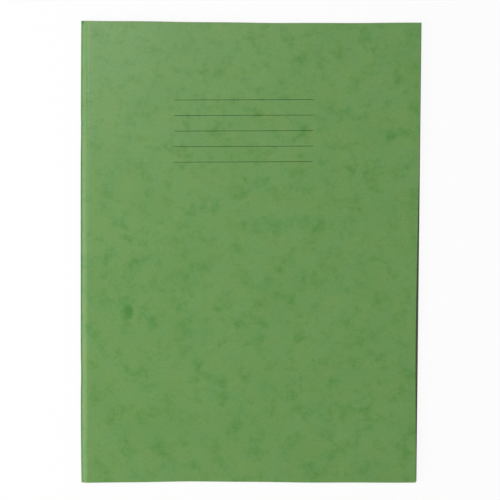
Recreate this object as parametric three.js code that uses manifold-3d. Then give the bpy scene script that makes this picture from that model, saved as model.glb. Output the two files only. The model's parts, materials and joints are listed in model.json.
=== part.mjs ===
// A saddle-stapled notebook, lying closed on its back cover.
//
// Sixteen sheets are folded once and nested inside one wrap-around pressboard cover. Two wire
// staples go through the fold from outside, and their legs are clinched in the centre spread.
// Millimetres, +Z up. +Y points to the head of the page, and the spine is on the -X side.
// The origin is the middle of the footprint, on the underside.
//
// The front half turns about the fold axis, the line along Y where the innermost sheet folds.
// So each sheet is three pieces: a front leaf, a rear leaf and the fold between them, which
// unrolls as the notebook opens. The cover is split in the same way.

import * as THREE from "three";
import { mergeVertices } from "three/addons/utils/BufferGeometryUtils.js";
import Module from "manifold-3d";

const wasm = await Module();
wasm.setup();

// Overall sizes

const CLOSED_WIDTH = 230; // from the staple crowns to the fore edge
const PAGE_HEIGHT = 315; // along the spine

// Cover

const BOARD_THICKNESS = 0.4;
const COVER_CLEARANCE = 0.3; // between the cover and the outermost sheet
const COVER_SETBACK = 0.6; // the front cover's fore edge stops short of the leaves by this
const COVER_EASE = 0.7; // how much longer the cover's bend is than the outermost sheet's

// Sheets

const SHEET_COUNT = 16;
const PAPER_THICKNESS = 0.1;
const STACK_SLACK = 0.2; // air between two sheets, as a share of the paper's thickness
const FOLD_TAPER = 0.6; // how much longer each fold gets for each millimetre further out

// Staples

const WIRE_DIAMETER = 0.45;
const WIRE_CLEARANCE = 0.175; // round the wire, in the fold and in its holes
const WIRE_BEND = 0.6; // radius of the wire's centreline at a corner
const CROWN_LENGTH = 12; // from leg to leg
const CLINCH_LENGTH = 4.5; // how far each leg runs along the fold inside
const STAPLE_SPACING = 165; // from the middle of one staple to the middle of the other
const CROWN_SEAT = 0.05; // between the crown and the cover's spine

// Gap between a fold and its two flat leaves, or between the parts of the cover

const SPLIT = 0.1;

// Fineness of the curved faces

const FOLD_STEPS = 14;
const WIRE_SIDES = 8;
const WIRE_STEPS = 72;

// Sizes that follow from these. Half heights are measured up or down from the fold axis.

const sheetPitch = PAPER_THICKNESS * (1 + STACK_SLACK);
const wireRadius = WIRE_DIAMETER / 2;
const foldRadius = wireRadius + WIRE_CLEARANCE; // inside the innermost sheet
const stackHalfHeight = foldRadius + SHEET_COUNT * sheetPitch;
const coverInside = stackHalfHeight + COVER_CLEARANCE;
const coverOutside = coverInside + BOARD_THICKNESS;
const crownProud = CROWN_SEAT + WIRE_DIAMETER; // how far a crown stands out of the spine
const foldAxisX = -CLOSED_WIDTH / 2 + crownProud + coverOutside;
const foldAxisZ = coverOutside;
const foreEdge = CLOSED_WIDTH / 2 - foldAxisX; // from the fold axis to the fore edge

// How far right of the fold axis a fold with this half height becomes flat.
function shoulder(halfHeight) {
  return foldRadius + FOLD_TAPER * (halfHeight - foldRadius);
}

const coverShoulder = shoulder(coverInside) + COVER_EASE;

// Materials

const material = (color, roughness, metalness) =>
  new THREE.MeshStandardMaterial({ color, roughness, metalness });
const pressboard = () => material("#6a9658", 0.55, 0);
const paper = () => material("#f1efe6", 0.9, 0);
const stapleWire = () => material("#b4b6b8", 0.35, 1);

function asSolid(geometry) {
  const bare = geometry.clone();
  bare.deleteAttribute("normal");
  bare.deleteAttribute("uv");
  const merged = mergeVertices(bare, 1e-5);
  return new wasm.Manifold(new wasm.Mesh({
    numProp: 3,
    vertProperties: new Float32Array(merged.attributes.position.array),
    triVerts: new Uint32Array(merged.index.array),
  }));
}

function asGeometry(solid) {
  const mesh = solid.getMesh();
  const geometry = new THREE.BufferGeometry();
  geometry.setAttribute("position", new THREE.BufferAttribute(mesh.vertProperties, 3));
  geometry.setIndex(new THREE.BufferAttribute(mesh.triVerts, 1));
  geometry.computeVertexNormals();
  return geometry;
}

function named(name, geometry, finish, x = 0, y = 0, z = 0) {
  const mesh = new THREE.Mesh(geometry, finish);
  mesh.name = name;
  mesh.position.set(x, y, z);
  return mesh;
}

// A flat board or leaf as high as the page. It runs from x0 to x1, and its faces are at z0 and z1.
function flatPanel(name, x0, x1, z0, z1, finish) {
  const geometry = new THREE.BoxGeometry(x1 - x0, PAGE_HEIGHT, Math.abs(z1 - z0));
  return named(name, geometry, finish, (x0 + x1) / 2, 0, (z0 + z1) / 2);
}

// Points along half of an ellipse that opens to +X: from above the fold axis, round the nose on
// the -X side, to below it.
function halfEllipse(flatAt, length, halfHeight) {
  const points = [];
  for (let i = 0; i <= FOLD_STEPS; i++) {
    const angle = Math.PI * (0.5 + i / FOLD_STEPS);
    points.push(new THREE.Vector2(flatAt + length * Math.cos(angle), halfHeight * Math.sin(angle)));
  }
  return points;
}

// A box that cuts a slit for one staple leg through everything left of the fold axis.
function legSlit(y) {
  const side = WIRE_DIAMETER + 2 * WIRE_CLEARANCE;
  const reach = 2 * coverOutside;
  return new THREE.BoxGeometry(reach, side, side).translate(-reach / 2, y, 0);
}

const stapleCentres = [STAPLE_SPACING / 2, -STAPLE_SPACING / 2];
const legPlaces = stapleCentres.flatMap((y) => [y - CROWN_LENGTH / 2, y + CROWN_LENGTH / 2]);
const legSlits = legPlaces.map((y) => asSolid(legSlit(y)));

// A folded band of paper or board, bent round the fold axis, with its slits for the staple legs.
// inside is the half height of its inner face, and flatAt is where it becomes flat.
function foldedBand(name, inside, thickness, flatAt, finish) {
  const outer = halfEllipse(flatAt, flatAt + inside + thickness, inside + thickness);
  const inner = halfEllipse(flatAt, flatAt + inside, inside).reverse();
  const section = new THREE.Shape([...outer, ...inner]);
  const band = new THREE.ExtrudeGeometry(section, { depth: PAGE_HEIGHT, bevelEnabled: false });
  band.rotateX(Math.PI / 2);
  band.translate(0, PAGE_HEIGHT / 2, 0);
  const solid = legSlits.reduce((left, slit) => left.subtract(slit), asSolid(band));
  return named(name, asGeometry(solid), finish);
}

// One sheet. Number 1 is the outermost, next to the cover.
function sheet(number) {
  const label = `sheet_${String(number).padStart(2, "0")}`;
  const inside = foldRadius + (SHEET_COUNT - number) * sheetPitch;
  const outside = inside + PAPER_THICKNESS;
  const flatAt = shoulder(inside);
  return [
    flatPanel(`${label}_front_leaf`, flatAt + SPLIT, foreEdge, inside, outside, paper()),
    foldedBand(`${label}_fold`, inside, PAPER_THICKNESS, flatAt, paper()),
    flatPanel(`${label}_rear_leaf`, flatAt + SPLIT, foreEdge, -outside, -inside, paper()),
  ];
}

function cover() {
  const start = coverShoulder + SPLIT;
  const frontEnd = foreEdge - COVER_SETBACK;
  return [
    flatPanel("cover_front", start, frontEnd, coverInside, coverOutside, pressboard()),
    foldedBand("cover_spine", coverInside, BOARD_THICKNESS, coverShoulder, pressboard()),
    flatPanel("cover_back", start, foreEdge, -coverOutside, -coverInside, pressboard()),
  ];
}

// The wire's centreline, flat in the plane of the fold axis: clinched leg, leg, crown, leg,
// clinched leg. The clinched legs lie on the fold axis and point at each other.
function staplePath() {
  const half = CROWN_LENGTH / 2;
  const crownX = -(coverOutside + CROWN_SEAT + wireRadius);
  const corners = [
    [0, half - CLINCH_LENGTH],
    [0, half],
    [crownX, half],
    [crownX, -half],
    [0, -half],
    [0, CLINCH_LENGTH - half],
  ].map(([x, y]) => new THREE.Vector3(x, y, 0));
  const path = new THREE.CurvePath();
  let from = corners[0];
  for (let i = 1; i < corners.length - 1; i++) {
    const corner = corners[i];
    const into = corner.clone().sub(corners[i - 1]).setLength(WIRE_BEND);
    const out = corners[i + 1].clone().sub(corner).setLength(WIRE_BEND);
    const bendStart = corner.clone().sub(into);
    const bendEnd = corner.clone().add(out);
    path.add(new THREE.LineCurve3(from, bendStart));
    path.add(new THREE.QuadraticBezierCurve3(bendStart, corner, bendEnd));
    from = bendEnd;
  }
  path.add(new THREE.LineCurve3(from, corners[corners.length - 1]));
  return path;
}

function wireSection() {
  const points = [];
  for (let i = 0; i < WIRE_SIDES; i++) {
    const angle = (2 * Math.PI * i) / WIRE_SIDES;
    points.push(new THREE.Vector2(wireRadius * Math.cos(angle), wireRadius * Math.sin(angle)));
  }
  return new THREE.Shape(points);
}

function staple(name, y) {
  const geometry = new THREE.ExtrudeGeometry(wireSection(), {
    steps: WIRE_STEPS,
    extrudePath: staplePath(),
  });
  return named(name, geometry, stapleWire(), 0, y, 0);
}

// Everything is built round the fold axis, and this group puts that axis in its place.
const notebook = new THREE.Group();
notebook.position.set(foldAxisX, 0, foldAxisZ);
notebook.add(...cover());
for (let number = 1; number <= SHEET_COUNT; number++) {
  notebook.add(...sheet(number));
}
notebook.add(staple("staple_head", stapleCentres[0]));
notebook.add(staple("staple_foot", stapleCentres[1]));

export default notebook;
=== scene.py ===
import json
import math

import bpy
import numpy as np
from mathutils import Matrix, Vector


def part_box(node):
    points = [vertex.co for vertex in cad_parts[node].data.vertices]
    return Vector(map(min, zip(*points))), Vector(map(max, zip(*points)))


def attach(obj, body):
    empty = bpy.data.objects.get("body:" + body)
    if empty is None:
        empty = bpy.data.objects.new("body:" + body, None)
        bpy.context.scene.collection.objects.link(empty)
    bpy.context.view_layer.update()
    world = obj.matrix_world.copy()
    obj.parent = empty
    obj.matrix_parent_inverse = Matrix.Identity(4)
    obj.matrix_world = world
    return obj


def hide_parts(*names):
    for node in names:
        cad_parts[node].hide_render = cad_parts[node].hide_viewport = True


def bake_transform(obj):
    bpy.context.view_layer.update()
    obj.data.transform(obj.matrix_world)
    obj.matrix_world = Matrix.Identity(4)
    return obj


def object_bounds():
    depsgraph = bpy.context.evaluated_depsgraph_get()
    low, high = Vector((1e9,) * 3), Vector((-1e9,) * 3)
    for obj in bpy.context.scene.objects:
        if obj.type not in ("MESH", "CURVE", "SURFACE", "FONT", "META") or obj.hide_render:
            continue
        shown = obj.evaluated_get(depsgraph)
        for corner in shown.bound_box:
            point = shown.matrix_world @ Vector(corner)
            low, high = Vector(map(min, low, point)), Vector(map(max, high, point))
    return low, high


bl_info = {
    "name": "Stapled Notebook",
    "version": (1, 0, 0),
    "blender": (4, 5, 0),
    "location": "3D View > Sidebar > Notebook",
    "description": "Pressboard cover, title lines, ruled sheets and staples on a packed notebook",
    "category": "Object",
}

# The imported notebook. Shoulders and half heights are measured from the fold axis.

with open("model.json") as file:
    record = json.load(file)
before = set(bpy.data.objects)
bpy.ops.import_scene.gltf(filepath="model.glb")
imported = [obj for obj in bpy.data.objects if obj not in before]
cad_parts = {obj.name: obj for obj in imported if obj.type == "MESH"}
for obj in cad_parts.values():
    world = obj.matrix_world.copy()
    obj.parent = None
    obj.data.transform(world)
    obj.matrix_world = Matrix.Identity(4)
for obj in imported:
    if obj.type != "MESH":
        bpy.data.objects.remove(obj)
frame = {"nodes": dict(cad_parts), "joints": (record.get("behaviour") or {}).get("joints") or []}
cad_box = [list(corner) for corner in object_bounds()]
fold_axis = next(Vector(joint["pos_m"]) for joint in frame["joints"] if joint["name"] == "leaves_turn")
MM = 0.001
SHEETS = sum(name.endswith("_fold") for name in frame["nodes"])
PAGE_HEIGHT = cad_box[1][1] - cad_box[0][1]
HALF_PAGE = PAGE_HEIGHT / 2
FORE_EDGE = cad_box[1][0]
LEAF_WIDTH = FORE_EDGE - fold_axis.x
FRONT = 1  # the half over the fold axis
REAR = -1  # the half under it

# Maps and kinds of faces

BOARD_MAP = "Unrolled"
INSIDE_OFFSET = 2.0  # metres between the outer and the inner face of a board or page on its map
OUTER = 0  # a face's kind is also the number of its material
INNER = 1
EDGE = 2

# Fineness of the meshes

COVER_ROWS = 96  # along the spine
PAGE_ROWS = 40
SHEET_FOLD_ROWS = 24
COVER_FOLD_STEPS = 22  # round half of a fold
SHEET_FOLD_STEPS = 10
BEND_STEP = 0.25 * MM  # where the front cover bends
COVER_STEP = 5 * MM
FINE_PAGE_RUN = 6 * MM  # next to the fold, where a page starts to sink
FINE_PAGE_STEP = 3 * MM
PAGE_STEP = 12 * MM
TITLE_STATIONS = 97
WIRE_SIDES = 14
WIRE_BEND_STEPS = 8
FLOOR_CORNERS = 96
SHARP_ANGLE = math.radians(32.0)  # sharper corners than this aren't smoothed

# Bows of the cut edges: the middle of each and its reach to either side

HEAD_BOW = (28 * MM, 102 * MM)
FOOT_BOW = (-35 * MM, 56 * MM)
FORE_BOW = (-48 * MM, 85 * MM)
TRIM_POWER = 6  # how fast the trim of the head and foot edges fades towards the middle

# Ripples that the knife left: how deep they are, and their run for each radian of a sine

END_RIPPLE = (0.07 * MM, 9 * MM)
FORE_RIPPLE = (0.05 * MM, 17 * MM)

# Fold and spine

SETTLING_START = 5 * MM  # from the fold axis
SWELL_POWER_HEAD = 2.6  # how flat the swell is in the head half of the spine
SWELL_POWER_FOOT = 7.0
DENT_REACH = 9 * MM  # to either side of a staple's middle
SHEET_SEED = 11
SHEET_END_INSET = 0.12 * MM  # least that a sheet's head and foot lie inside the cover's

# Title lines. The stroke's section is given across, in half strokes, and up, in millimetres.

TITLE_LINES = 5
TITLE_SEED = 5
TITLE_SHIFT = 0.15  # most that a line starts aside of its place, in millimetres
INK_SPREAD = 0.18  # how much a stroke's width varies
INK_WINDOW = 5  # stations over which it varies smoothly
INK_END = 0.5  # width of a stroke's two ends, as a share of the rest
INK_SECTION = ((-1, -0.004), (-1, 0.006), (0, 0.010), (1, 0.006), (1, -0.004))

# Ruling of the pages

HEAD_MARGIN = 30.0 * MM  # over the first rule
FOOT_MARGIN = 14.0 * MM  # under the last one, at least
HALF_RULE = 0.13 * MM  # half the width of a ruled line
# the crease's dent and its painted shade
CREASE_DENT_AND_SHADE = (0.05 * MM, 0.60 * MM)  # how far from the fold it is full, and where it ends
# painted shade towards the fold: how far from the fold it is full, and where it ends
GUTTER_SHADE = (0.0, 7.0 * MM)

# Staples. The nip's sizes are shares of the wire's radius.

WIRE_BEND = 0.6 * MM
CLINCH_LENGTH = 4.5 * MM
CLINCH_RING = 0.45  # where a clinched leg has one more ring, as a share of its length
NIP_LENGTH = 0.45
NIP_WIDTH = 0.45
NIP_HEIGHT = 0.8

# The darkest clumps of fibre in the cover, and last a spot of painted shade at the head corner of its fold.
# Each is its place from the fold and up from the middle of the unrolled board, its half width and half
# height in millimetres, and its strength.

CLUMPS_AND_CORNER_SHADE = (
    (33.6, -39.2, 2.8, 4.4, 0.27),
    (32.2, -40.4, 4.8, 5.2, 0.26),
    (33.0, 10.0, 3.6, 4.0, 0.17),
    (193.0, 148.0, 4.6, 8.0, 0.12),
    (214.0, 121.0, 4.0, 7.0, 0.13),
    (64.0, 59.0, 9.0, 4.0, 0.10),
    # painted shade at the head corner of the fold
    (0.8, 157.5, 2.6, 2.6, 0.80),
)
CLUMP_FADE = 1.6  # square of the distance, in half sizes, at which a clump has faded out

# Painted shade along the fold's outermost line, where it turns away from the light

FOLD_SHADE_WIDTH = (0.9 * MM, 2.1 * MM)  # how far it is full, and where it ends
FOLD_SHADE_MIDDLE = -16.0 * MM
FOLD_SHADE_REACH = (90.0 * MM, 125.0 * MM)  # to either side of its middle
FOLD_SHADE_FADE = 0.6  # how much of it is lost past its reach

# Floor, lamps and camera

WHITE = (1.0, 1.0, 1.0, 1.0)
FLOOR_RADIUS = 6.0  # metres
SENSOR_WIDTH = 36.0  # millimetres


# Settings

def length(name, description, default_mm, low_mm=0.0, high_mm=50.0):
    return bpy.props.FloatProperty(
        name=name, description=description, default=default_mm * MM,
        min=low_mm * MM, max=high_mm * MM, precision=5, subtype="DISTANCE", unit="LENGTH",
    )


def angle(name, description, default_degrees):
    return bpy.props.FloatProperty(
        name=name, description=description, default=math.radians(default_degrees),
        subtype="ANGLE", unit="ROTATION",
    )


def position(name, description, default):
    return bpy.props.FloatVectorProperty(
        name=name, description=description, default=default, size=3, subtype="TRANSLATION", unit="LENGTH",
    )


def colour(name, description, default):
    return bpy.props.FloatVectorProperty(
        name=name, description=description, default=default, min=0.0, max=1.0, size=3, subtype="COLOR",
    )


def factor(name, description, default, low=0.0, high=1.0):
    return bpy.props.FloatProperty(
        name=name, description=description, default=default, min=low, max=high, subtype="FACTOR",
    )


def lamp_size(name, description, default):
    return bpy.props.FloatProperty(
        name=name, description=description, default=default, min=0.05, max=4.0,
        subtype="DISTANCE", unit="LENGTH",
    )


def lamp_power(name, description, default):
    return bpy.props.FloatProperty(
        name=name, description=description, default=default, min=0.0, max=500.0,
        subtype="POWER", unit="POWER",
    )


class NotebookShape(bpy.types.PropertyGroup):
    """Sizes of the notebook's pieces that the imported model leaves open"""

    print_room: length("Room for print", "How far the board's faces lie inside the packed board", 0.02)
    board_chamfer: length("Board chamfer", "Chamfer on the board's cut edges", 0.07)
    page_chamfer: length("Page chamfer", "Chamfer on the paper's cut edges", 0.02)
    cover_bend: length("Cover bend", "How far the front cover bends from its hinge line", 4.5)
    head_trim: length("Head trim", "How far the head edge lies inside the packed board", 0.25)
    head_bow: length("Head bow", "How far the head edge curves in", 1.09)
    foot_trim: length("Foot trim", "How far the foot edge lies inside the packed board", 0.10)
    foot_bow: length("Foot bow", "How far the foot edge curves in", 0.92)
    fore_trim: length("Fore edge trim", "How far the fore edges lie inside the packed board", 0.18)
    fore_bow: length("Fore edge bow", "How far the front cover's fore edge curves in", 1.35)
    spine_bulge: length("Spine bulge", "How far the spine swells out between its corners", 0.48)
    staple_dent: length("Staple dent", "How deep the staples are pressed into the spine", 0.24)
    settling: length("Settling", "How far the front half sinks at its fore edge", 0.65)
    page_inset: length("Page inset", "How far the leaves end inside the front cover's fore edge", 0.55)
    page_scatter: length("Page scatter", "Most that one leaf's edges lie inside another's", 0.16)
    title_width: length("Title line length", "Length of a title line", 94.3, 1.0, 200.0)
    title_stroke: length("Title line stroke", "Width of a title line's stroke", 0.33, 0.05, 2.0)
    title_pitch: length("Title line pitch", "From one title line to the next", 10.50, 2.0, 30.0)
    title_x: length("Title centre", "Middle of the lines, from the frame's centre", -4.85, -100.0, 100.0)
    title_y: length("First title line", "Uppermost line, from the frame's centre", 104.5, -150.0, 150.0)
    title_skew: angle("Title skew", "Turn of the title lines on the cover", 0.40)
    rule_pitch: length("Rule pitch", "From one ruled line to the next", 8.0, 2.0, 30.0)
    margin_width: length("Margin", "From the fore edge to the margin line", 24.0, 1.0, 100.0)


class NotebookColours(bpy.types.PropertyGroup):
    """Colours of the board, print, paper, wire and floor"""

    board_warm: colour("Board, warm", "Ground of the board where it is yellowish", (0.155, 0.309, 0.081))
    board_cool: colour("Board, cool", "Ground of the board where it is bluish", (0.141, 0.308, 0.090))
    board_blotch: colour("Board, blotches", "Fibre clouds in the board", (0.048, 0.218, 0.024))
    board_fleck: colour("Board, flecks", "Pale fibres in the board", (0.202, 0.336, 0.121))
    # darkened partly as painted shade for the strip beyond the front cover's fore edge
    board_inside: colour("Board, inside", "Unglazed inner face of the board", (0.112, 0.142, 0.086))
    board_core: colour("Board, cut edge", "Fibres that show at the board's cut edges", (0.120, 0.200, 0.075))
    ink: colour("Ink", "Print of the title lines", (0.012, 0.024, 0.008))
    paper: colour("Paper", "Face of a page", (0.800, 0.785, 0.720))
    paper_flock: colour("Paper, flocks", "Denser flocks in a page", (0.720, 0.700, 0.620))
    paper_edge: colour("Paper edge", "Cut edges of the pages", (0.520, 0.505, 0.455))
    rule: colour("Ruling", "Feint lines on the pages", (0.330, 0.440, 0.560))
    margin: colour("Margin line", "Margin line on the pages", (0.640, 0.250, 0.270))
    wire: colour("Wire", "Galvanised staple wire", (0.560, 0.570, 0.585))
    wire_dull: colour("Wire, dull", "Dull spots on the wire", (0.360, 0.360, 0.360))
    floor: colour("Floor", "The floor under the notebook", (0.900, 0.900, 0.895))


class NotebookStage(bpy.types.PropertyGroup):
    """Camera and light"""

    camera_place: position("Camera place", "Where the camera stands", (-0.07413, 0.25014, 2.200))
    camera_aim: position("Camera aim", "Point in the middle of the picture", (-0.00035, 0.00264, 0.0055))
    camera_roll: angle("Camera roll", "Turn of the camera about its line of sight", 0.305)
    lens: bpy.props.FloatProperty(
        name="Lens", description="Focal length on a 36 mm sensor", default=234.9, min=10.0, max=400.0,
        subtype="DISTANCE_CAMERA", unit="CAMERA",
    )
    key_place: position("Key lamp place", "Where the large softbox hangs", (-0.75, -0.12, 0.66))
    key_size: lamp_size("Key lamp size", "Side of the large softbox", 0.7)
    key_power: lamp_power("Key lamp power", "Power of the large softbox", 4.9)
    top_place: position("Top lamp place", "Where the small softbox hangs", (-0.28, 0.26, 1.30))
    top_size: lamp_size("Top lamp size", "Side of the small softbox", 0.50)
    top_power: lamp_power("Top lamp power", "Power of the small softbox", 5.0)
    sky: factor("Room light", "Even light from all round", 0.462, 0.0, 2.0)
    floor_glow: factor("Floor whiteness", "Share of plain white in the floor as the camera sees it", 0.88)


# Shader nodes

class Signal:
    """One output of a node. Arithmetic with numbers or other signals adds Math nodes."""

    def __init__(self, nodes, socket):
        self.nodes = nodes
        self.socket = socket

    def combine(self, operation, *values):
        return self.nodes.add("ShaderNodeMath", {"operation": operation}, dict(enumerate(values)))

    def __add__(self, other):
        return self.combine("ADD", self, other)

    __radd__ = __add__

    def __sub__(self, other):
        return self.combine("SUBTRACT", self, other)

    def __rsub__(self, other):
        return self.combine("SUBTRACT", other, self)

    def __mul__(self, other):
        return self.combine("MULTIPLY", self, other)

    __rmul__ = __mul__

    def __truediv__(self, other):
        return self.combine("DIVIDE", self, other)

    def __rtruediv__(self, other):
        return self.combine("DIVIDE", other, self)

    def __mod__(self, other):
        return self.combine("FLOORED_MODULO", self, other)

    def __rmod__(self, other):
        return self.combine("FLOORED_MODULO", other, self)

    def __abs__(self):
        return self.combine("ABSOLUTE", self)

    def above(self, other):
        return self.combine("GREATER_THAN", self, other)

    def highest(self, other):
        return self.combine("MAXIMUM", self, other)

    def step(self, low, high):
        """0 below low and 1 above high, with a soft ramp between them."""
        return self.nodes.add(
            "ShaderNodeMapRange", {"interpolation_type": "SMOOTHSTEP"}, {0: self, 1: low, 2: high},
        )


class Nodes:
    """The nodes of a material or of the world."""

    def __init__(self, tree):
        self.tree = tree
        self.tree.nodes.clear()

    def add(self, kind, settings=None, inputs=None, output=0):
        node = self.tree.nodes.new(kind)
        for name, value in (settings or {}).items():
            setattr(node, name, value)
        for key, value in (inputs or {}).items():
            if isinstance(value, Signal):
                self.tree.links.new(value.socket, node.inputs[key])
            else:
                node.inputs[key].default_value = value
        return Signal(self, node.outputs[output]) if node.outputs else None

    def mix(self, amount, first, second):
        """A colour between two others, each a signal or red, green and blue."""
        shades = [shade if isinstance(shade, Signal) else opaque(shade) for shade in (first, second)]
        return self.add("ShaderNodeMix", {"data_type": "RGBA"}, {0: amount, 6: shades[0], 7: shades[1]}, 2)

    def noise(self, where, scale, detail=2.0, roughness=0.5, distortion=0.0):
        """Cloudy noise between 0 and 1. Scale is the number of clouds to a metre."""
        return self.add("ShaderNodeTexNoise", None, {
            "Vector": where, "Scale": scale, "Detail": detail,
            "Roughness": roughness, "Distortion": distortion,
        })

    def unrolled(self):
        """Place on the flat board or page, in metres."""
        return self.add("ShaderNodeUVMap", {"uv_map": BOARD_MAP})

    def place(self):
        """Place in the object's own space, in metres."""
        return self.add("ShaderNodeTexCoord", None, None, "Object")

    def part(self, vector, axis):
        return self.add("ShaderNodeSeparateXYZ", None, {0: vector}, axis)

    def stretched(self, vector, x, y, z):
        return self.add("ShaderNodeVectorMath", {"operation": "MULTIPLY"}, {0: vector, 1: (x, y, z)})

    def bump(self, height, strength, distance):
        return self.add("ShaderNodeBump", None, {
            "Strength": strength, "Distance": distance, "Height": height,
        })

    def directly_seen(self):
        """1 where the camera, a reflection or clear glass looks straight at the surface."""
        seen = [self.add("ShaderNodeLightPath", None, None, output)
                for output in ("Is Camera Ray", "Is Glossy Ray", "Is Transmission Ray")]
        return seen[0].highest(seen[1]).highest(seen[2])

    def surface(self, shader):
        self.add("ShaderNodeOutputMaterial", None, {"Surface": shader})

    def principled(self, sockets):
        self.surface(self.add("ShaderNodeBsdfPrincipled", None, sockets))


def opaque(rgb):
    return (*rgb, 1.0)


def finish(name, make):
    """The material of that name, made once."""
    material = bpy.data.materials.get(name)
    if material is None:
        material = bpy.data.materials.new(name)
        material.use_nodes = True
        make(Nodes(material.node_tree), bpy.context.scene.notebook_colours)
    return material


# Finishes of the cover

def clumped_and_shaded(nodes, where, density):
    """The density of the fibre clouds, with the clumps and the painted shade spot at the fold's head corner
    added to it.
    """
    x = nodes.part(where, "X")
    y = nodes.part(where, "Y")
    for along, up, half_width, half_height, strength in CLUMPS_AND_CORNER_SHADE:
        across = (x - along * MM) / (half_width * MM)
        down = (y - up * MM) / (half_height * MM)
        density = density + strength * (1.0 - (across * across + down * down).step(0.0, CLUMP_FADE))
    return density


def painted_fold_shade(nodes, where):
    """Painted shade: 1 along the fold's outermost line, which turns away from the light, and less towards
    its head and foot.
    """
    nose = 1.0 - abs(nodes.part(where, "X")).step(*FOLD_SHADE_WIDTH)
    ends = abs(nodes.part(where, "Y") - FOLD_SHADE_MIDDLE).step(*FOLD_SHADE_REACH)
    return nose * (1.0 - FOLD_SHADE_FADE * ends)


def mottled_board(nodes, colours):
    """Glazed board with fibre clouds, darker and greener than its ground, and painted shade along its fold.
    """
    where = nodes.unrolled()
    drift = nodes.noise(where, scale=70.0, detail=3.0, roughness=0.55)
    banks = nodes.noise(where, scale=21.0, detail=2.0, roughness=0.55)
    clouds = nodes.noise(where, scale=78.0, detail=6.0, roughness=0.66, distortion=0.2)
    dabs = nodes.noise(where, scale=230.0, detail=3.0, roughness=0.55, distortion=0.2)
    pale = nodes.noise(where, scale=130.0, detail=4.0, roughness=0.6, distortion=0.2)
    fibres = nodes.noise(where, scale=620.0, detail=3.0, roughness=0.62)
    grain = nodes.noise(where, scale=1500.0, detail=2.0, roughness=0.6)
    density = clumped_and_shaded(nodes, where, clouds + 0.30 * (dabs - 0.5))
    blotches = (
        0.38 * density.step(0.44, 0.70)
        + 0.30 * density.step(0.58, 0.80)
        + 0.32 * density.step(0.80, 1.10)
    )
    ground = nodes.mix(drift.step(0.32, 0.68), colours.board_warm, colours.board_cool)
    clouded = nodes.mix(blotches, ground, colours.board_blotch)
    banked = nodes.mix(0.12 * banks.step(0.38, 0.72), clouded, colours.board_blotch)
    flecks = 0.30 * fibres.step(0.60, 0.80) + 0.16 * pale.step(0.52, 0.72)
    flecked = nodes.mix(flecks * (1.0 - density.step(0.45, 0.65)), banked, colours.board_fleck)
    dust = grain.step(0.30, 0.70) * 0.13 + fibres.step(0.38, 0.62) * 0.055
    # painted shade along the fold's nose, mixed towards the ink colour together with the fine dust
    nose_shade = painted_fold_shade(nodes, where) * (0.34 + 0.30 * dabs)
    height = dabs * 0.35 + fibres * 0.35 + grain * 0.30
    nodes.principled({
        "Base Color": nodes.mix(dust + nose_shade, flecked, colours.ink),
        "Specular IOR Level": 0.27,
        "Roughness": 0.25 + 0.06 * (clouds - 0.5) + 0.04 * (fibres - 0.5),
        "Normal": nodes.bump(height, strength=0.12, distance=0.04 * MM),
    })


def board_inside(nodes, colours):
    """Inner face of the board, dull as unglazed board is, and darkened to nearly grey partly as painted
    shade for the strip that shows beyond the front cover's fore edge.
    """
    where = nodes.unrolled()
    clouds = nodes.noise(where, scale=160.0, detail=4.0, roughness=0.6, distortion=0.4)
    fibres = nodes.noise(where, scale=900.0, detail=3.0, roughness=0.62)
    clouded = nodes.mix(clouds.step(0.35, 0.75) * 0.30, colours.board_inside, colours.board_core)
    nodes.principled({
        "Base Color": nodes.mix(fibres.step(0.60, 0.80) * 0.25, clouded, colours.board_fleck),
        "Specular IOR Level": 0.20,
        "Roughness": 0.80 + 0.15 * (fibres - 0.5),
        "Normal": nodes.bump(fibres, strength=0.25, distance=0.05 * MM),
    })


def board_edge(nodes, colours):
    """The board's cut edge, dull and fibrous."""
    where = nodes.stretched(nodes.place(), 1.0, 1.0, 6.0)
    fibres = nodes.noise(where, scale=900.0, detail=3.0, roughness=0.6)
    nodes.principled({
        "Base Color": nodes.mix(fibres.step(0.3, 0.7), colours.board_core, colours.board_warm),
        "Roughness": 0.8,
        "Normal": nodes.bump(fibres, strength=0.5, distance=0.05 * MM),
    })


def title_ink(nodes, colours):
    """Letterpress ink, a little uneven."""
    patches = nodes.noise(nodes.place(), scale=1400.0, detail=2.0)
    nodes.principled({
        "Base Color": nodes.mix(patches * 0.20, colours.ink, colours.board_blotch),
        "Specular IOR Level": 0.15,
        "Roughness": 0.5 + 0.2 * patches,
    })


# Finishes of the paper and the wire

def from_multiple(value, pitch):
    """How far a value is from the nearest multiple of a pitch."""
    return abs((value + pitch / 2) % pitch - pitch / 2)


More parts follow.
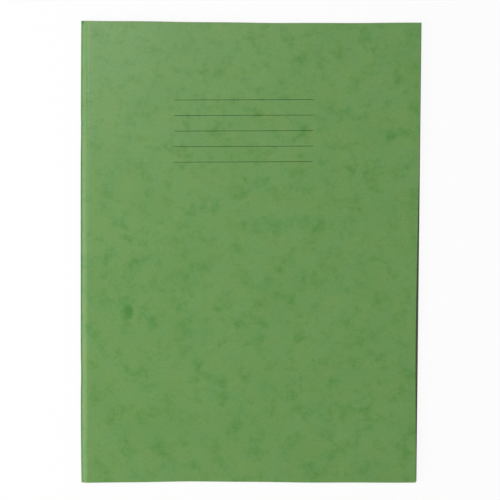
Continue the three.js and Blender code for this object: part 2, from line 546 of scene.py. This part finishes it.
def ruled_paper(nodes, colours):
    """Uncoated writing paper with feint rules and a margin line, and painted shade in the crease and towards
    the fold.
    """
    shape = bpy.context.scene.notebook_shape
    where = nodes.unrolled()
    x = nodes.part(where, "X")
    y = nodes.part(where, "Y")
    fibres = nodes.noise(where, scale=1300.0, detail=3.0, roughness=0.6)
    flocks = nodes.noise(where, scale=240.0, detail=3.0, roughness=0.55)
    from_fold = from_multiple(x, INSIDE_OFFSET)
    # painted shade in the crease, which the bump also dents, and wider painted shade towards the fold
    crease_dent_and_shade = 1.0 - from_fold.step(*CREASE_DENT_AND_SHADE)
    gutter_shade = 1.0 - from_fold.step(*GUTTER_SHADE)
    top_rule = HALF_PAGE - HEAD_MARGIN
    ruled_part = y.above(FOOT_MARGIN - HALF_PAGE) * (1.0 - y.above(top_rule + HALF_RULE * 2))
    rules = (1.0 - from_multiple(top_rule - y, shape.rule_pitch).above(HALF_RULE)) * ruled_part
    margin_at = LEAF_WIDTH - shape.margin_width
    margin = 1.0 - abs(x % INSIDE_OFFSET - margin_at).above(HALF_RULE)
    tone = nodes.mix(flocks.step(0.3, 0.75) * 0.25, colours.paper, colours.paper_flock)
    ruled = nodes.mix(rules * 0.75, tone, colours.rule)
    lined = nodes.mix(margin * 0.8, ruled, colours.margin)
    height = fibres * 0.6 + flocks * 0.4 - crease_dent_and_shade * 3.0
    nodes.principled({
        "Base Color": nodes.mix(gutter_shade * 0.22 + crease_dent_and_shade * 0.35, lined, colours.paper_edge),
        "Roughness": 0.82 + 0.12 * fibres,
        "Normal": nodes.bump(height, strength=0.35, distance=0.06 * MM),
    })


def paper_edge(nodes, colours):
    """Cut edges of the pages, each a slightly different tone."""
    where = nodes.stretched(nodes.place(), 1.0, 1.0, 40.0)
    streaks = nodes.noise(where, scale=210.0, detail=3.0, roughness=0.6)
    nodes.principled({
        "Base Color": nodes.mix(streaks.step(0.3, 0.7), colours.paper_edge, colours.paper),
        "Roughness": 0.9,
        "Normal": nodes.bump(streaks, strength=0.4, distance=0.04 * MM),
    })


def drawn_wire(nodes, colours):
    """Galvanised wire with fine drawing marks and a few dull spots."""
    where = nodes.stretched(nodes.place(), 12.0, 1.0, 12.0)
    marks = nodes.noise(where, scale=900.0, detail=3.0, roughness=0.6)
    spots = nodes.noise(nodes.place(), scale=1500.0, detail=2.0)
    nodes.principled({
        "Base Color": nodes.mix(spots.step(0.5, 0.8) * 0.6, colours.wire, colours.wire_dull),
        "Metallic": 1.0,
        "Roughness": 0.28 + 0.22 * marks,
        "Normal": nodes.bump(marks, strength=0.3, distance=0.02 * MM),
    })


def floor_finish(nodes, colours):
    """Plain pale floor that the camera sees as nearly white, with the notebook's shadow on it."""
    plain = nodes.add("ShaderNodeBsdfDiffuse", None, {"Color": opaque(colours.floor)})
    white = nodes.add("ShaderNodeEmission", None, {"Color": WHITE, "Strength": 1.0})
    share = nodes.directly_seen() * bpy.context.scene.notebook_stage.floor_glow
    nodes.surface(nodes.add("ShaderNodeMixShader", None, {0: share, 1: plain, 2: white}))


# Meshes

def slab(name, outer, inner, along, rows, chamfer, free_end):
    """A closed band of board or paper as high as the page. outer and inner are its two faces in
    section, as X and Z, and along is the distance on the unrolled band.

    Its head, its foot and a free end are chamfered. Other ends are cut square, to meet the next
    piece."""
    pinch = chamfer / float(np.linalg.norm(outer[0] - inner[0]))
    if free_end:
        outer, inner, along = with_free_end(outer, inner, along, chamfer, pinch)
    y_rows = np.linspace(chamfer - HALF_PAGE, HALF_PAGE - chamfer, rows)
    ring_y = np.concatenate([y_rows, [HALF_PAGE] * 2, y_rows[::-1], [-HALF_PAGE] * 2])
    depth = np.concatenate([np.zeros(rows), [pinch, 1 - pinch], np.ones(rows), [1 - pinch, pinch]])
    section = outer[:, None, :] * (1 - depth)[None, :, None] + inner[:, None, :] * depth[None, :, None]
    stations, ring = section.shape[:2]
    points = np.empty((stations, ring, 3))
    points[:, :, 0] = section[:, :, 0]
    points[:, :, 1] = ring_y
    points[:, :, 2] = section[:, :, 1]
    faces, kinds = slab_faces(stations, rows)
    flat = np.stack([np.repeat(along, ring), np.tile(ring_y, stations)], 1)
    return mesh_piece(name, points.reshape(-1, 3), faces, kinds, flat)


def slab_faces(stations, rows):
    """The faces round a slab and over its two ends, and the kind of each."""
    ring = 2 * rows + 4
    faces = tube_faces(0, stations, ring)
    round_kinds = [OUTER] * (rows - 1) + [EDGE] * 3 + [INNER] * (rows - 1) + [EDGE] * 3
    kinds = round_kinds * (stations - 1)
    across = [(j, j + 1, 2 * rows - j, 2 * rows + 1 - j) for j in range(rows - 1)]
    chamfers = [(rows - 1, rows, rows + 1, rows + 2), (2 * rows + 1, 2 * rows + 2, 2 * rows + 3, 0)]
    last = (stations - 1) * ring
    faces += across + chamfers
    faces += [tuple(last + j for j in reversed(face)) for face in across + chamfers]
    return faces, kinds + [EDGE] * 2 * len(across + chamfers)


def with_free_end(outer, inner, along, chamfer, pinch):
    """The same section with its last station drawn in, so that the end is chamfered."""
    run = outer[-1] - outer[-2]
    back = run / np.linalg.norm(run) * chamfer
    span = math.copysign(chamfer, along[-1] - along[-2])
    last_outer = outer[-1] + (inner[-1] - outer[-1]) * pinch
    last_inner = inner[-1] + (outer[-1] - inner[-1]) * pinch
    return (
        np.vstack([outer[:-1], outer[-1] - back, last_outer]),
        np.vstack([inner[:-1], inner[-1] - back, last_inner]),
        np.concatenate([along[:-1], [along[-1] - span, along[-1]]]),
    )


def tube_faces(base, stations, sides):
    """The faces of a tube, whose rings of points follow each other from base on."""
    faces = []
    for i in range(stations - 1):
        a = base + i * sides
        b = a + sides
        for j in range(sides):
            k = (j + 1) % sides
            faces.append((a + j, b + j, b + k, a + k))
    return faces


def mesh_piece(name, points, faces, kinds, flat):
    """An object whose faces carry a kind each, with its places on the unrolled map in flat."""
    mesh = bpy.data.meshes.new(name)
    mesh.from_pydata([tuple(p) for p in points], [], faces)
    mesh.polygons.foreach_set("material_index", np.array(kinds, np.int32))
    loops = np.empty(len(mesh.loops), np.int32)
    mesh.loops.foreach_get("vertex_index", loops)
    sizes = np.array([len(face) for face in faces])
    uv = flat[loops].copy()
    uv[:, 0] += np.repeat(np.array(kinds) == INNER, sizes) * INSIDE_OFFSET
    mesh.uv_layers.new(name=BOARD_MAP).data.foreach_set("uv", uv.astype(np.float32).ravel())
    return placed(name, mesh)


def placed(name, mesh):
    """An object in the scene, with outward faces, smooth but for its sharp edges."""
    mesh.validate()
    mesh.update()
    piece = bpy.data.objects.new(name, mesh)
    bpy.context.scene.collection.objects.link(piece)
    bpy.context.view_layer.objects.active = piece
    piece.select_set(True)
    bpy.ops.object.mode_set(mode="EDIT")
    bpy.ops.mesh.select_all(action="SELECT")
    bpy.ops.mesh.normals_make_consistent(inside=False)
    bpy.ops.object.mode_set(mode="OBJECT")
    piece.select_set(False)
    mesh.shade_smooth()
    mesh.set_sharp_from_angle(angle=SHARP_ANGLE)
    return piece


def wear(piece, *materials):
    for material in materials:
        piece.data.materials.append(material)


def steps_between(start, end, longest):
    return np.linspace(start, end, max(2, int(math.ceil(abs(end - start) / longest)) + 1))


# Small changes of shape

def reshape(piece, change):
    """Moves a piece's points by a function of all of them, as X, Y and Z columns."""
    mesh = piece.data
    points = np.empty(len(mesh.vertices) * 3)
    mesh.vertices.foreach_get("co", points)
    mesh.vertices.foreach_set("co", change(points.reshape(-1, 3)).ravel())
    mesh.update()


def hump(value, middle, reach):
    """1 at the middle, falling off to either side."""
    return np.exp(-((value - middle) / reach) ** 2)


def trimmed(shape, points, head_inset=0.0, foot_inset=0.0):
    """The head and foot edges as the knife left them, curved in a little."""
    x, y = points[:, 0], points[:, 1]
    reach = np.clip(np.abs(y) / HALF_PAGE, 0, 1)
    head = shape.head_trim + shape.head_bow * hump(x, *HEAD_BOW) + head_inset
    foot = shape.foot_trim + shape.foot_bow * hump(x, *FOOT_BOW) + foot_inset
    deep, run = END_RIPPLE
    ripple = deep * np.sin(x / run) + deep
    out = points.copy()
    out[:, 1] = y - np.sign(y) * reach ** TRIM_POWER * (np.where(y > 0, head, foot) + ripple)
    return out


def fore_inset(shape, y):
    """How far the front cover's fore edge lies inside its straight line."""
    deep, run = FORE_RIPPLE
    return shape.fore_trim + shape.fore_bow * hump(y, *FORE_BOW) + deep * (1 + np.sin(y / run))


def drawn_in(points, start, inset):
    """Draws the fore edge in by an inset for each point, and the rest in proportion."""
    share = np.clip((points[:, 0] - start) / (FORE_EDGE - start), 0, 1)
    out = points.copy()
    out[:, 0] -= share ** 2 * inset
    return out


def settled(shape, points):
    """The front half sunk towards the fore edge, where no fold keeps its leaves apart."""
    run = np.clip((points[:, 0] - fold_axis.x) / LEAF_WIDTH, 0, 1)
    start = SETTLING_START / LEAF_WIDTH
    share = np.clip((run - start) / (1 - start), 0, 1)
    out = points.copy()
    out[:, 2] -= shape.settling * share * (2 - share)
    return out


def spine_swell(shape, y):
    """How far the spine stands out of its straight line: less at the corners and the staples."""
    v = y / HALF_PAGE
    power = np.where(v > 0, SWELL_POWER_HEAD, SWELL_POWER_FOOT)
    swell = shape.spine_bulge * (1 - np.abs(v) ** power)
    for name in ("staple_head", "staple_foot"):
        low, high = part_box(name)
        swell -= shape.staple_dent * hump(y, (low.y + high.y) / 2, DENT_REACH)
    return np.maximum(swell, 0)


def swelled(shape, points, flat_at, outside):
    """The spine pushed out by its swell, most at the nose and not at all where it turns flat."""
    share = np.clip((fold_axis.x + flat_at - points[:, 0]) / (flat_at + outside), 0, 1)
    out = points.copy()
    out[:, 0] -= share ** 2 * spine_swell(shape, points[:, 1])
    return out


# Folds and leaves

def half_fold(name, flat_at, outside, inside, side, steps, rows, chamfer):
    """Half of a fold, from its flat end to the nose, and its length on the outer face."""
    turn = np.linspace(math.pi / 2, 0, steps + 1)
    sections = []
    for half in (outside, inside):
        x = fold_axis.x + flat_at - (flat_at + half) * np.cos(turn)
        z = fold_axis.z + side * half * np.sin(turn)
        sections.append(np.stack([x, z], 1))
    runs = np.linalg.norm(np.diff(sections[0], axis=0), axis=1)
    along = side * (runs.sum() - np.concatenate([[0], np.cumsum(runs)]))
    piece = slab(name, sections[0], sections[1], along, rows, chamfer, False)
    return piece, float(runs.sum())


def flat_leaf(name, xs, outside, inside, side, along, rows, chamfer):
    """A flat panel or page with a chamfered fore edge."""
    sections = [
        np.stack([xs, np.full(len(xs), fold_axis.z + side * half)], 1) for half in (outside, inside)
    ]
    return slab(name, sections[0], sections[1], along, rows, chamfer, True)


def roll_open(piece):
    """Bakes the placement of half a fold into its points."""
    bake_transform(piece)


# Cover

def cover_sections(shape):
    """The cover's flat end and its outer and inner half heights, from the fold axis."""
    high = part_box("cover_spine")[1]
    flat_at = high.x - fold_axis.x
    outside = high.z - fold_axis.z - shape.print_room
    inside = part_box("cover_front")[0].z - fold_axis.z
    return flat_at, outside, inside


def cover_panel(name, node, side, arc_length, xs, shape):
    """A flat panel of the cover."""
    flat_at, outside, inside = cover_sections(shape)
    along = side * (arc_length + xs - xs[0])
    piece = flat_leaf(name, xs, outside, inside, side, along, COVER_ROWS, shape.board_chamfer)
    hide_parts(node)
    return piece


class MakeCover(bpy.types.Operator):
    """Make the cover's two panels and its rounded spine"""

    bl_idname = "notebook.make_cover"
    bl_label = "Make Cover"

    def execute(self, context):
        shape = context.scene.notebook_shape
        flat_at, outside, inside = cover_sections(shape)
        faces = (finish("mottled_board", mottled_board), finish("board_inside", board_inside))
        edge = finish("board_edge", board_edge)
        for name, side in (("cover_spine_front_half", FRONT), ("cover_spine_back_half", REAR)):
            piece, arc_length = half_fold(
                name, flat_at, outside, inside, side, COVER_FOLD_STEPS, COVER_ROWS, shape.board_chamfer,
            )
            reshape(piece, lambda p: swelled(shape, p, flat_at, outside))
            reshape(piece, lambda p: trimmed(shape, p))
            wear(piece, *faces, edge)
            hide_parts("cover_spine")
            roll_open(piece)
        start = fold_axis.x + flat_at
        bend_end = start + shape.cover_bend
        bend_xs = steps_between(start, bend_end, BEND_STEP)
        rest_xs = steps_between(bend_end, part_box("cover_front")[1].x, COVER_STEP)
        front_xs = np.concatenate([bend_xs, rest_xs[1:]])
        front = cover_panel("cover_front_panel", "cover_front", FRONT, arc_length, front_xs, shape)
        reshape(front, lambda p: drawn_in(p, start, fore_inset(shape, p[:, 1])))
        reshape(front, lambda p: settled(shape, p))
        back_xs = steps_between(start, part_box("cover_back")[1].x, COVER_STEP)
        back = cover_panel("cover_back_panel", "cover_back", REAR, arc_length, back_xs, shape)
        reshape(back, lambda p: drawn_in(p, start, shape.fore_trim))
        for piece in (front, back):
            reshape(piece, lambda p: trimmed(shape, p))
            wear(piece, *faces, edge)
        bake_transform(front)
        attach(back, "back")
        return {"FINISHED"}


def title_points(shape, line, top, draws):
    """The points of one printed line, as a ring for each station."""
    y = shape.title_y - line * shape.title_pitch
    rise = math.tan(shape.title_skew)
    xs = np.linspace(-0.5, 0.5, TITLE_STATIONS) * shape.title_width + shape.title_x
    xs = xs + draws.uniform(-TITLE_SHIFT, TITLE_SHIFT) * MM
    spread = draws.uniform(-1, 1, TITLE_STATIONS + INK_WINDOW - 1)
    uneven = np.convolve(spread, np.ones(INK_WINDOW) / INK_WINDOW, "valid")
    half_strokes = shape.title_stroke / 2 * (1 + INK_SPREAD * uneven)
    half_strokes[[0, -1]] *= INK_END
    points = []
    for x, half in zip(xs, half_strokes):
        for across, up in INK_SECTION:
            points.append((x, y + (x - shape.title_x) * rise + across * half, top + up * MM))
    return points


class PrintTitleLines(bpy.types.Operator):
    """Print the five title lines on the front cover"""

    bl_idname = "notebook.print_title_lines"
    bl_label = "Print Title Lines"

    def execute(self, context):
        shape = context.scene.notebook_shape
        top = fold_axis.z + cover_sections(shape)[1]
        draws = np.random.RandomState(TITLE_SEED)
        sides = len(INK_SECTION)
        points, faces = [], []
        for line in range(TITLE_LINES):
            base = len(points)
            last = base + (TITLE_STATIONS - 1) * sides
            points += title_points(shape, line, top, draws)
            faces += tube_faces(base, TITLE_STATIONS, sides)
            faces.append(tuple(base + j for j in range(sides)))
            faces.append(tuple(last + j for j in reversed(range(sides))))
        mesh = bpy.data.meshes.new("title_lines")
        mesh.from_pydata(points, [], faces)
        piece = placed("title_lines", mesh)
        reshape(piece, lambda p: settled(shape, p))
        wear(piece, finish("title_ink", title_ink))
        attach(piece, "front_cover")
        return {"FINISHED"}


# Sheets

def lay_half_sheet(shape, label, half, body, side, insets):
    """One leaf of a sheet and its half of the fold. insets are those of fore edge, head and foot."""
    low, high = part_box(f"{label}_front_leaf")
    flat_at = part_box(f"{label}_fold")[1].x - fold_axis.x
    outside = high.z - fold_axis.z
    inside = low.z - fold_axis.z
    arc, arc_length = half_fold(
        f"{label}_fold_{half}", flat_at, outside, inside, side, SHEET_FOLD_STEPS, SHEET_FOLD_ROWS,
        shape.page_chamfer,
    )
    start = fold_axis.x + flat_at
    fine_xs = steps_between(start, start + FINE_PAGE_RUN, FINE_PAGE_STEP)
    rest_xs = steps_between(start + FINE_PAGE_RUN, high.x, PAGE_STEP)
    xs = np.concatenate([fine_xs, rest_xs[1:]])
    leaf = flat_leaf(
        f"{label}_{half}_page", xs, outside, inside, side, arc_length + xs - xs[0], PAGE_ROWS,
        shape.page_chamfer,
    )
    fore, head, foot = insets
    reshape(leaf, lambda p: drawn_in(p, start, fore + fore_inset(shape, p[:, 1])))
    if side == FRONT:
        reshape(leaf, lambda p: settled(shape, p))
    paper = finish("ruled_paper", ruled_paper)
    for piece in (arc, leaf):
        reshape(piece, lambda p: trimmed(shape, p, head, foot))
        wear(piece, paper, paper, finish("paper_edge", paper_edge))
    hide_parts(f"{label}_fold")
    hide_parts(f"{label}_{half}_leaf")
    roll_open(arc)
    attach(leaf, body)


class LaySheets(bpy.types.Operator):
    """Lay the folded sheets into the cover"""

    bl_idname = "notebook.lay_sheets"
    bl_label = "Lay Sheets"

    def execute(self, context):
        shape = context.scene.notebook_shape
        draws = np.random.RandomState(SHEET_SEED)
        for number in range(1, SHEETS + 1):
            fore, head, foot = draws.uniform(0, shape.page_scatter, 3)
            fore_from_leaf = shape.page_inset + fore + FORE_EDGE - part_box("cover_front")[1].x
            insets = (fore_from_leaf, head + SHEET_END_INSET, foot + SHEET_END_INSET)
            for half, body, side in (("front", "front_leaves", FRONT), ("rear", "back", REAR)):
                lay_half_sheet(shape, f"sheet_{number:02d}", half, body, side, insets)
        return {"FINISHED"}


# Staples

def wire_line(half_crown, crown_x):
    """The wire's centreline as X and Y from the fold axis and the staple's middle."""
    corners = [
        Vector((0, half_crown - CLINCH_LENGTH)), Vector((0, half_crown)), Vector((crown_x, half_crown)),
        Vector((crown_x, -half_crown)), Vector((0, -half_crown)), Vector((0, CLINCH_LENGTH - half_crown)),
    ]
    line = [corners[0], corners[0].lerp(corners[1], CLINCH_RING)]
    for before, corner, after in zip(corners, corners[1:], corners[2:]):
        start = corner + (before - corner).normalized() * WIRE_BEND
        end = corner + (after - corner).normalized() * WIRE_BEND
        for step in range(WIRE_BEND_STEPS + 1):
            t = step / WIRE_BEND_STEPS
            line.append(start.lerp(corner, t).lerp(corner.lerp(end, t), t))
    line += [corners[-1].lerp(corners[-2], CLINCH_RING), corners[-1]]
    return line


def wire_mesh(name, line, radius, centre):
    """A round wire along a flat line, with nipped ends."""
    turns = [2 * math.pi * side / WIRE_SIDES for side in range(WIRE_SIDES)]
    points = []
    for i, place in enumerate(line):
        ahead = line[min(i + 1, len(line) - 1)] - line[max(i - 1, 0)]
        ahead.normalize()
        across = Vector((-ahead.y, ahead.x))
        for turn in turns:
            flat = place + across * radius * math.cos(turn)
            points.append((centre.x + flat.x, centre.y + flat.y, centre.z + radius * math.sin(turn)))
    faces = tube_faces(0, len(line), WIRE_SIDES)
    for end, inward in ((0, 1), (len(line) - 1, -1)):
        tip = line[end] - (line[end + inward] - line[end]).normalized() * radius * NIP_LENGTH
        ring = len(points)
        for turn in turns:
            points.append((
                centre.x + tip.x + NIP_WIDTH * radius * math.cos(turn), centre.y + tip.y,
                centre.z + NIP_HEIGHT * radius * math.sin(turn),
            ))
        for side in range(WIRE_SIDES):
            k = (side + 1) % WIRE_SIDES
            faces.append((end * WIRE_SIDES + side, end * WIRE_SIDES + k, ring + k, ring + side))
        faces.append(tuple(ring + side for side in range(WIRE_SIDES)))
    mesh = bpy.data.meshes.new(name)
    mesh.from_pydata(points, [], faces)
    return placed(name, mesh)


class SetStaples(bpy.types.Operator):
    """Put the two wire staples through the fold"""

    bl_idname = "notebook.set_staples"
    bl_label = "Set Staples"

    def execute(self, context):
        for name in ("staple_head", "staple_foot"):
            low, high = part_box(name)
            radius = (high.z - low.z) / 2
            crown_x = low.x + radius - fold_axis.x
            half_crown = (high.y - low.y) / 2 - radius
            centre = Vector((fold_axis.x, (low.y + high.y) / 2, fold_axis.z))
            piece = wire_mesh(f"{name}_wire", wire_line(half_crown, crown_x), radius, centre)
            wear(piece, finish("drawn_wire", drawn_wire))
            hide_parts(name)
            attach(piece, "spine")
        return {"FINISHED"}


# Stage

def lay_floor():
    """A round floor, far wider than any view of the notebook."""
    bpy.ops.mesh.primitive_circle_add(
        vertices=FLOOR_CORNERS, radius=FLOOR_RADIUS, fill_type="NGON", location=(0, 0, 0),
    )
    floor = bpy.context.object
    floor.name = "floor"
    wear(floor, finish("floor", floor_finish))


def light_room(scene, sky):
    """Even light from all round, which the camera sees as plain white."""
    world = bpy.data.worlds.new("room")
    world.use_nodes = True
    scene.world = world
    nodes = Nodes(world.node_tree)
    lit = nodes.add("ShaderNodeBackground", None, {"Color": WHITE, "Strength": sky})
    seen = nodes.add("ShaderNodeBackground", None, {"Color": WHITE, "Strength": 1.0})
    both = nodes.add("ShaderNodeMixShader", None, {0: nodes.directly_seen(), 1: lit, 2: seen})
    nodes.add("ShaderNodeOutputWorld", None, {"Surface": both})


def hang_softbox(name, place, size, power):
    """A square lamp that faces the notebook."""
    lamp = bpy.data.lights.new(name, "AREA")
    lamp.energy = power
    lamp.size = size
    softbox = bpy.data.objects.new(name, lamp)
    softbox.location = place
    softbox.rotation_euler = (-Vector(place)).to_track_quat("-Z", "Y").to_euler()
    bpy.context.scene.collection.objects.link(softbox)


def set_up_camera(scene, stage):
    """A camera that looks at its aim with the head of the page up, but for its roll."""
    lens = bpy.data.cameras.new("camera")
    lens.lens = stage.lens
    lens.sensor_width = SENSOR_WIDTH
    camera = bpy.data.objects.new("camera", lens)
    back = (Vector(stage.camera_place) - Vector(stage.camera_aim)).normalized()
    right = Vector((0, 1, 0)).cross(back).normalized()
    level = Matrix((right, back.cross(right), back)).transposed()
    turned = level @ Matrix.Rotation(stage.camera_roll, 3, "Z")
    camera.matrix_world = Matrix.Translation(stage.camera_place) @ turned.to_4x4()
    scene.collection.objects.link(camera)
    scene.camera = camera


class SetStage(bpy.types.Operator):
    """Set up the floor, the room light, the lamps and the camera"""

    bl_idname = "notebook.set_stage"
    bl_label = "Set Stage"

    def execute(self, context):
        scene = context.scene
        stage = scene.notebook_stage
        scene.view_settings.view_transform = "Standard"
        lay_floor()
        light_room(scene, stage.sky)
        hang_softbox("key", stage.key_place, stage.key_size, stage.key_power)
        hang_softbox("top", stage.top_place, stage.top_size, stage.top_power)
        set_up_camera(scene, stage)
        return {"FINISHED"}


class NotebookPanel(bpy.types.Panel):
    """The notebook's steps in the order they are run, and its settings"""

    bl_idname = "VIEW3D_PT_notebook"
    bl_label = "Notebook"
    bl_space_type = "VIEW_3D"
    bl_region_type = "UI"
    bl_category = "Notebook"

    def draw(self, context):
        for step in STEPS:
            self.layout.operator(step.bl_idname)
        for title, group in (
            ("Sizes", context.scene.notebook_shape),
            ("Colours", context.scene.notebook_colours),
            ("Stage", context.scene.notebook_stage),
        ):
            box = self.layout.box()
            box.label(text=title)
            for name in group.__annotations__:
                box.prop(group, name)


STEPS = (SetStage, MakeCover, PrintTitleLines, LaySheets, SetStaples)
GROUPS = {
    "notebook_shape": NotebookShape,
    "notebook_colours": NotebookColours,
    "notebook_stage": NotebookStage,
}


def register():
    for cls in (*GROUPS.values(), *STEPS, NotebookPanel):
        bpy.utils.register_class(cls)
    for name, group in GROUPS.items():
        setattr(bpy.types.Scene, name, bpy.props.PointerProperty(type=group))


def unregister():
    for name in GROUPS:
        delattr(bpy.types.Scene, name)
    for cls in reversed((*GROUPS.values(), *STEPS, NotebookPanel)):
        bpy.utils.unregister_class(cls)


def main():
    register()
    for step in STEPS:
        group, name = step.bl_idname.split(".")
        getattr(getattr(bpy.ops, group), name)()


if __name__ == "__main__":
    main()
